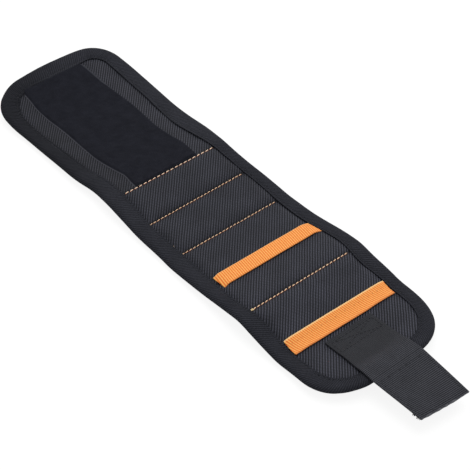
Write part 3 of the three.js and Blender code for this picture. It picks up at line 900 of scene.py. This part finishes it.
def flat_level(along, sideways, depth):
    offset = sideways - flat_middle(along)
    half = flat_tape_width / 2
    share = np.clip(offset / half, -1, 1) / 2 + 0.5
    above, below = (face_height(flat_middle(along) + edge, along) for edge in (-half, half))
    carried = np.maximum((1 - share) * above + share * below, stack_half + 0.0005)
    curl = 0.0004 * np.clip(offset / 0.0058, 0, 1) ** 2
    ripple = 0.0001 * unevenness(along, 0.0, 0.008, 22)
    rib = woven_rib(along + flat_slew * offset, tape_rib_pitch, depth)
    return carried + 0.00012 + tape_thickness / 2 + curl + ripple + depth + rib


for name, node, part, width, points_across, level, slew, ends in (
    ("tool_loop_tape_arched", "tool_loop_arched", 6, tape_width, 16, arched_level, arch_slew, arch_ends),
    ("tool_loop_tape_sewn", "tool_loop_flat", 8, flat_tape_width, 18, flat_level, flat_slew, flat_ends),
):
    tape = woven_strip(
        name, tape_stations, flat_ring(width, tape_thickness, points_across), tape_middle(part), level,
        tape_look, on_band, crosswise=True, slew=slew, cut=cut_end(ends, width))
    ride_or_bend(tape, part, tape_bend_reach)
    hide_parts(node)
    tape_length = sum(sum(pair) for pair in ends.values()) / 2


def on_flat_tape(along, across):
    return flat_level(across, along, np.full(np.shape(along), tape_thickness / 2))


tape_row_shift, tape_row_reach = 0.0019, 0.0345
tape_row_ends = [(float(flat_middle(y)) - tape_row_shift, y) for y in (-tape_row_reach, tape_row_reach)]
tape_row = row_of_stitches(*tape_row_ends, 0.0034, 0.35, 0.0001, 61)
tape_thread_look = thread_look_of("thread_tape_orange", dye(226, 112, 36), dye(255, 190, 108))
sew("thread_tool_loop_tape", tape_row, on_flat_tape, 0.00016, tape_thread_look, 8, tape_bend_reach,
    sunk=0.0001)

# The raw edge is closed by a wide black tape with a leaning rib, folded over the edge and
# sewn through both laps. It runs in one length round the band and eases at the corners.
binding_look = Look("binding_black_grosgrain", 0.75, 0.01, specular=0.07)
binding_ribs = binding_look.ribs(37, 0.00126, binding_look.spots(0.003, 2) * 2.0)
binding_fuzz, binding_patch = binding_look.spots(0.0009), binding_look.spots(0.012, 2)
binding_run = binding_look.place("X")
# Painted shade: the binding is darker round the near corner of the loop end and along the near side as far as
# the end of the loop panel.
shaded_near_left = binding_run.ramp(-0.045, -0.015) * binding_run.ramp(0.125, 0.085)
binding_tone = (binding_ribs * 0.56 + 0.27) * (binding_fuzz * 1.3 + 0.15) * (binding_patch * 0.7 + 0.65)
binding_look.colour(binding_tone * (shaded_near_left * -0.46 + 1.0), dye(14, 15, 18), dye(58, 59, 67))
binding_look.relief(binding_look.ribs(90, 0.0006) * 0.3 + binding_ribs, 0.00022)
binding_plateau, fold_depth, under_press = 0.00215, 0.0026, 0.92
row_in, binding_pitch = 0.0080, 0.0032
lifted_lip = [(0.0084, 0.00125), (0.0089, 0.00150), (0.0093, 0.00178), (0.00942, 0.00200)]
lap_inward = np.array([9.3, 9.28, 9.1, 8.7, 8.3, 8.0, 7.7, 7.2, 6.4, 5.5, 4.6, 3.7, 3.0, 2.6, 2.1, 1.6, 1.15,
                       0.75, 0.42, 0.18, 0.04]) / 1000


def lap_height(inward):
    fold = np.sqrt(np.clip(1 - (np.clip(fold_depth - inward, 0, None) / fold_depth) ** 2, 0, 1))
    sewn = 0.00028 * ridge(inward - row_in, 0.0005)
    soft = 0.00015 * np.sin(np.clip((inward - 0.001) / 0.0075, 0, 1) * math.pi)
    return binding_plateau * fold + soft - sewn


def travel(points):
    """Distance travelled along a line of flat points, at each of them."""
    return np.concatenate([[0], np.cumsum(np.hypot(*np.diff(points, axis=0).T))])


def binding_strip(name, outline, part, begins):
    """A folded tape along outline points (along, across) that run with the band on their left."""
    stray = by_hand(edge_strays, outline[:, 0], outline[:, 1]) * smooth_step(np.abs(outline[:, 1]) / 0.03)
    shift = end_shift(outline[:, 0], outline[:, 1], 0.02)
    outline = outline + np.stack([shift, np.sign(outline[:, 1]) * stray], -1)
    run = np.gradient(outline, axis=0)
    run /= np.hypot(run[:, 0], run[:, 1])[:, None]
    inward = np.stack([-run[:, 1], run[:, 0]], -1)
    travelled = travel(outline)
    profile = lifted_lip + [(a, lap_height(a)) for a in lap_inward] + [(0.0, 0.0)]
    profile = np.array(profile + [(a, -under_press * h) for a, h in profile[-2::-1]])
    girth = travel(profile)
    a, h = profile[None, :, 0], profile[None, :, 1]
    heading = np.unwrap(np.arctan2(run[:, 1], run[:, 0]))
    corner = np.abs(np.gradient(heading) / np.maximum(np.gradient(travelled), 1e-6))
    corner = np.clip(corner * 0.025, 0, 1)
    s0, y0 = outline.T
    widened = by_hand(lap_widths, s0, y0) - binding_lap + 0.0014 * corner * (s0 < 0.03) * (y0 < 0)
    widened -= shift * inward[:, 0]
    a = a + widened[:, None] * smooth_step((a - 0.003) / 0.006)
    wander = 0.00018 * unevenness(s0, y0, 0.016, 11)[:, None]
    waist = 1 + 0.06 * unevenness(s0, y0, 0.009, 12)
    pleat = corner * 0.00022 * np.sin(travelled / 0.0044 * 2 * math.pi)
    stitched = np.sin(travelled / binding_pitch * 2 * math.pi)[:, None]
    drawn = 0.00006 * stitched * ridge(a - row_in, 0.001)
    height = h * waist[:, None] + np.sign(h) * (pleat[:, None] * np.clip((a - 0.003) / 0.005, 0, 1) + drawn)
    s, y = (start[:, None] + inward[:, axis:axis + 1] * (a - wander) for axis, start in enumerate((s0, y0)))
    flat = np.stack([begins + travelled[:, None] + 0 * s, girth[None, :] + 0 * s], -1)
    strip = sewn_piece(name, on_band(s, y, height), grid_faces(*s.shape, flipped=True), flat, binding_look)
    ride_or_bend(strip, part)
    count = max(1, round(travelled[-1] / binding_pitch))
    sewn_line = outline + inward * (row_in + widened)[:, None]
    holes = [(np.arange(count) + share) * travelled[-1] / count for share in (0.12, 0.88)]
    ends = [np.stack([np.interp(hole, travelled, v) for v in sewn_line.T], -1) for hole in holes]
    rows = []
    for side_up, press in ((1.0, 1.0), (-1.0, -under_press)):
        lap = press * (lap_height(row_in) + 0.00005)
        rows.append(stitches(
            *ends, lambda along, across: lap + 0 * along, 0.00014, on_band, up=side_up, sunk=0.0001))
    ride_or_bend(thread_piece(name.replace("edge_binding", "thread_binding"), rows, black_thread), part)
    return strip


def arc(centre, radius, start, stop, count):
    angles = np.radians(np.linspace(start, stop, count))
    return np.stack([centre[0] + radius * np.cos(angles), centre[1] + radius * np.sin(angles)], -1)


def straight(start, stop, step=0.0012):
    share = np.linspace(0, 1, max(2, round(math.dist(start, stop) / step) + 1))[:, None]
    return np.asarray(start)[None] * (1 - share) + np.asarray(stop)[None] * share


(near_r, strap_near_r), (far_r, strap_far_r) = (corner_radii[side] for side in both_sides)
loop_outline = np.concatenate([
    straight((end_cut, half_band), (far_r, half_band))[:-1],
    arc((far_r, half_band - far_r), far_r, 90, 180, 34)[:-1],
    straight((0, half_band - far_r), (0, near_r - half_band))[:-1],
    arc((near_r, near_r - half_band), near_r, 180, 270, 44)[:-1],
    straight((near_r, -half_band), (end_cut, -half_band)),
])
near_corner, far_corner = band_length - strap_near_r, band_length - strap_far_r
strap_outline = np.concatenate([
    straight((strap_cut, -half_band), (near_corner, -half_band))[:-1],
    arc((near_corner, strap_near_r - half_band), strap_near_r, -90, 0, 44)[:-1],
    straight((band_length, strap_near_r - half_band), (band_length, half_band - strap_far_r))[:-1],
    arc((far_corner, half_band - strap_far_r), strap_far_r, 0, 90, 44)[:-1],
    straight((far_corner, half_band), (strap_cut, half_band)),
])
loop_begins = end_cut - travel(loop_outline)[-1]
loop_binding = binding_strip("edge_binding_loop_end", loop_outline, 0, loop_begins)
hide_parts("loop_1_binding")
strap_binding = binding_strip("edge_binding_strap_end", strap_outline, last_part, strap_cut)
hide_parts("strap_panel_binding")
for part in range(1, last_part):
    start, stop = cuts[part], cuts[part + 1]
    for side, line, begins in (
        ("near", straight((start, -half_band), (stop, -half_band)), start),
        ("far", straight((stop, half_band), (start, half_band)), loop_begins + end_cut - stop),
    ):
        strip = binding_strip(f"edge_binding_{side}_{part_names[part]}", line, part, begins)
        end_pieces = ("loop_1_binding", "strap_panel_binding")
        names = [node if node in end_pieces else f"{node}_{side}" for node in nodes_under(part, "binding")]
        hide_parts(*names)

# The strap is heavy black webbing with fine cross ribs. Its root is folded under and
# sewn to the end panel by a box of stitches, and it steps up over the binding.
webbing_look = Look("strap_black_webbing", 0.55, 0.01, 0.35, 0.12)
webbing_pitch = 0.00106
webbing_warps = webbing_look.ribs(90, 0.0009)
webbing_fuzz, webbing_patch = webbing_look.spots(0.00035), webbing_look.spots(0.010)
unpressed = (webbing_look.place("X") * 120 - 2.6).clamped()
webbing_ribs = webbing_look.ribs(0, webbing_pitch, webbing_look.spots(0.004, 2) * 0.8)
webbing_ribs = (webbing_ribs - 0.42) * (unpressed * 0.75 + 0.25) + 0.42
webbing_tone = (webbing_ribs * 0.9 + 0.06) * (webbing_warps * 0.25 + 0.75) * (webbing_fuzz * 0.7 + 0.6)
webbing_tone = webbing_tone * (webbing_patch * 0.6 + 0.7) * (unpressed * 0.38 + 0.54)
webbing_look.colour(webbing_tone, dye(6, 7, 9), dye(82, 83, 91))
webbing_look.relief(webbing_warps * 0.3 + webbing_ribs, 0.0003)
strap_width, strap_thickness, tail_length, tail_lie = 0.0344, 0.0013, 0.0346, -2.5
edge_row_in, lying_on_binding = 0.0152, 0.00215
strap_spread_shares = ([1.0, 1.09, 1.03, 0.965], [1.0, 1.035, 0.995, 0.95])
tail_turn = seam_at["strap_bend"]


def over_panel(run, height):
    return last + lying(run, strap_panel_lie) + lying(height, strap_panel_lie + 90)


strap_line = [
    over_panel(0.0081, lying_on_binding), over_panel(0.0318, lying_on_binding), over_panel(0.0362, 0.00318),
    tail_turn, tail_turn + lying(tail_length, tail_lie),
]
on_strap, strap_stops = soft_line(strap_line, lambda along: 0.0018 + 0 * along)
turn_s, strap_length = strap_stops[3], strap_stops[-1]


def strap_level(along, sideways, depth):
    """Webbing height off its middle line: ribs, the sewn hollows, the crease and a soft sag."""
    off_middle, past_turn = sideways - strap_middle, along - turn_s
    crease = 0.00030 * ridge(past_turn - 0.0004, 0.0007)
    root_box = 0.00016 * smooth_step((0.0112 - along) / 0.001) * smooth_step((along - 0.0008) / 0.001)
    root_fold = 0.00018 * ridge(along, 0.0008)
    edge_rows = 0.00014 * ridge(np.abs(off_middle) - edge_row_in, 0.0005) * (past_turn > 0)
    cup = 0.00022 * (off_middle / strap_half) ** 2 * smooth_step(past_turn / 0.02)
    warp = 0.00014 * unevenness(along, sideways, 0.014, 31)
    on_top = (root_fold - crease - root_box - edge_rows) * (depth > 0)
    return depth + woven_rib(along, webbing_pitch, depth) + on_top + cup + warp


def on_cut_strap(along, across, height):
    """The strap as cut: it spreads where it leaves the band, narrows to its tip and ends askew."""
    off_middle = across - strap_middle
    stops = [0.016, turn_s, turn_s + tail_length / 2, strap_length]
    near, far = (np.interp(along, stops, shares) for shares in strap_spread_shares)
    share = off_middle / strap_half
    askew = (0.0015 * share + 0.0004 * (1 - share ** 2)) * smooth_step((along - turn_s) / 0.03)
    return on_strap(along + askew, strap_middle + off_middle * np.where(off_middle < 0, near, far), height)


def strap_centre(along):
    return strap_middle + 0.0 * along


strap_stations = np.arange(0, strap_length, webbing_pitch / 4)
strap_piece = woven_strip(
    "strap_webbing", strap_stations, flat_ring(strap_width, strap_thickness, 41), strap_centre, strap_level,
    webbing_look, on_cut_strap, crosswise=False)
fold_start, fold_stop = on_strap([turn_s - 0.0025, turn_s + 0.0025], 0, 0)
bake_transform(strap_piece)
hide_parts("strap_root", "strap_tail")


def strap_top(along, across):
    return strap_level(along, across, np.full(np.shape(along), strap_thickness / 2))


box_half, box_start, box_stop = 0.0150, 0.0024, 0.0112
box_low, box_high = strap_middle - box_half, strap_middle + box_half
root_rows = [
    ((box_start, box_low), (box_start, box_high)), ((box_stop, box_high), (box_stop, box_low)),
    ((box_start, box_low), (box_stop, box_low)), ((box_stop, box_high), (box_start, box_high)),
    ((box_start, box_low), (box_stop, box_high)), ((box_stop, box_low), (box_start, box_high)),
]
tail_start, tail_stop = turn_s + 0.0030, strap_length - 0.0022
tail_low, tail_high = strap_middle - edge_row_in, strap_middle + edge_row_in
tail_rows = [
    ((tail_start, tail_low), (tail_stop, tail_low)), ((tail_start, tail_high), (tail_stop, tail_high)),
    ((tail_stop, tail_low), (tail_stop, tail_high)), ((tail_start, tail_low), (tail_start, tail_high)),
]
for name, rows, body in (
    ("thread_strap_box", root_rows, "strap_panel_section"),
    ("thread_strap_tail", tail_rows, "strap_tail_section"),
):
    lines = [row_of_stitches(a, b, 0.0024, 0.84, 0.00022, 70 + k) for k, (a, b) in enumerate(rows)]
    batches = [stitches(*line, strap_top, 0.0002, on_cut_strap, sunk=0.00008) for line in lines]
    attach(thread_piece(name, batches, black_thread), body)
# The heat-sealed end is a real bead; its grey, lighter than the webbing, is a painted highlight along the top
# edge of the tip.
melted_and_highlit_look = Look("strap_heat_cut_end_highlit", 0.4, specular=0.3)
melted_and_highlit_look.colour(melted_and_highlit_look.spots(0.0012), dye(30, 31, 35), dye(104, 105, 113))
across_end = strap_middle + np.linspace(-0.0170, 0.0170, 70)
round_bead = np.linspace(0, 2 * math.pi, 9)[:-1]
bead = 0.00058 + 0.00012 * unevenness(0.0, across_end, 0.0016, 33)
bead[[0, -1]] = 0.0004
bead_along = strap_length - 0.0002 + bead[:, None] * 0.8 * np.cos(round_bead)
bead_across = across_end[:, None] + 0 * bead_along
bead_level = strap_level(bead_along, bead_across, 0 * bead_along) + bead[:, None] * np.sin(round_bead)
bead_points = on_cut_strap(bead_along, bead_across, bead_level)
bead_faces = tube_faces(len(across_end), len(round_bead), turned=True)
bead_flat = np.stack([bead_across, bead_along], -1)
melted_end = sewn_piece("strap_heat_cut_end_highlit", bead_points, bead_faces, bead_flat, melted_and_highlit_look)
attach(melted_end, "strap_tail_section")
fray, yarns = np.random.default_rng(34), 22
fray_s = strap_length - fray.uniform(0.0002, 0.0050, yarns)
fray_y = strap_middle - strap_half + fray.uniform(0, 0.0004, yarns)
fray_run, fray_out = fray.uniform(-0.0004, 0.0012, yarns), fray.uniform(0.0004, 0.0013, yarns)
fray_from, fray_to = np.stack([fray_s, fray_y], -1), np.stack([fray_s + fray_run, fray_y - fray_out], -1)
frayed = stitches(
    fray_from, fray_to, lambda along, across: 0.0002 + 0 * along, 0.00013, on_cut_strap, sunk=-0.0001)
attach(thread_piece("strap_frayed_yarns", [frayed], black_thread), "strap_tail_section")

# The stiff half of the fastener is sewn under the strap's tail: a thin nylon tape
# with rows of small bent hooks that catch the pile when the band is closed.
hook_look = Look("hook_tape_black_nylon", 0.42, 0.05, specular=0.5)
hook_look.colour(hook_look.spots(0.0008), dye(22, 22, 24), dye(58, 58, 62))
hook_start, hook_stop, hook_half = turn_s + 0.0034, strap_length - 0.0016, 0.0156
hook_top, hook_base, hook_low = -0.00095, -0.00135, -0.0021
hook_stations = np.linspace(hook_start, hook_stop, 30)
hook_sheet = woven_strip(
    "hook_tape_ground", hook_stations, flat_ring(2 * hook_half, hook_top - hook_base, 14), strap_centre,
    lambda along, sideways, depth: (hook_top + hook_base) / 2 + depth, hook_look, on_strap, crosswise=False)
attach(hook_sheet, "strap_tail_section")
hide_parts("strap_hook")
2 * hook_half
float(hook_stop - hook_start)
hook_at = np.meshgrid(
    np.arange(hook_start + 0.0012, hook_stop - 0.001, 0.00125),
    np.arange(strap_middle - hook_half + 0.0014, strap_middle + hook_half - 0.0012, 0.0015), indexing="ij")
hook_lean = np.where(np.arange(hook_at[0].shape[1]) % 2 == 0, 1.0, -1.0) + 0 * hook_at[0]
hook_s, hook_y, hook_lean = (value.reshape(-1, 1, 1) for value in (*hook_at, hook_lean))
hook_spine = np.array([
    (0, 0.0), (0.00003, 0.35), (0.00014, 0.75), (0.00034, 1.0), (0.00052, 0.86), (0.00058, 0.62)])
hook_round, hook_corners = 0.00010, math.pi / 4 + np.arange(4) * math.pi / 2
bend, drop = hook_spine.T[:, :, None]
hook_s = hook_s + hook_lean * bend + hook_round * np.cos(hook_corners)
hook_y = hook_y + hook_round * np.sin(hook_corners) + 0 * hook_s
hook_points = on_strap(hook_s, hook_y, hook_base + (hook_low - hook_base) * drop + 0 * hook_s)
hook_count, per_hook = len(hook_points), hook_spine.shape[0] * len(hook_corners)
hook_tips = np.arange(per_hook - 4, per_hook) + per_hook * np.arange(hook_count)[:, None]
hook_sides = tube_faces(len(hook_spine), len(hook_corners), hook_count, turned=True)
hook_faces = np.concatenate([hook_sides, hook_tips])
hooks = sewn_piece("hook_tape_hooks", hook_points, hook_faces, np.stack([hook_s, hook_y], -1), hook_look)
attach(hooks, "strap_tail_section")
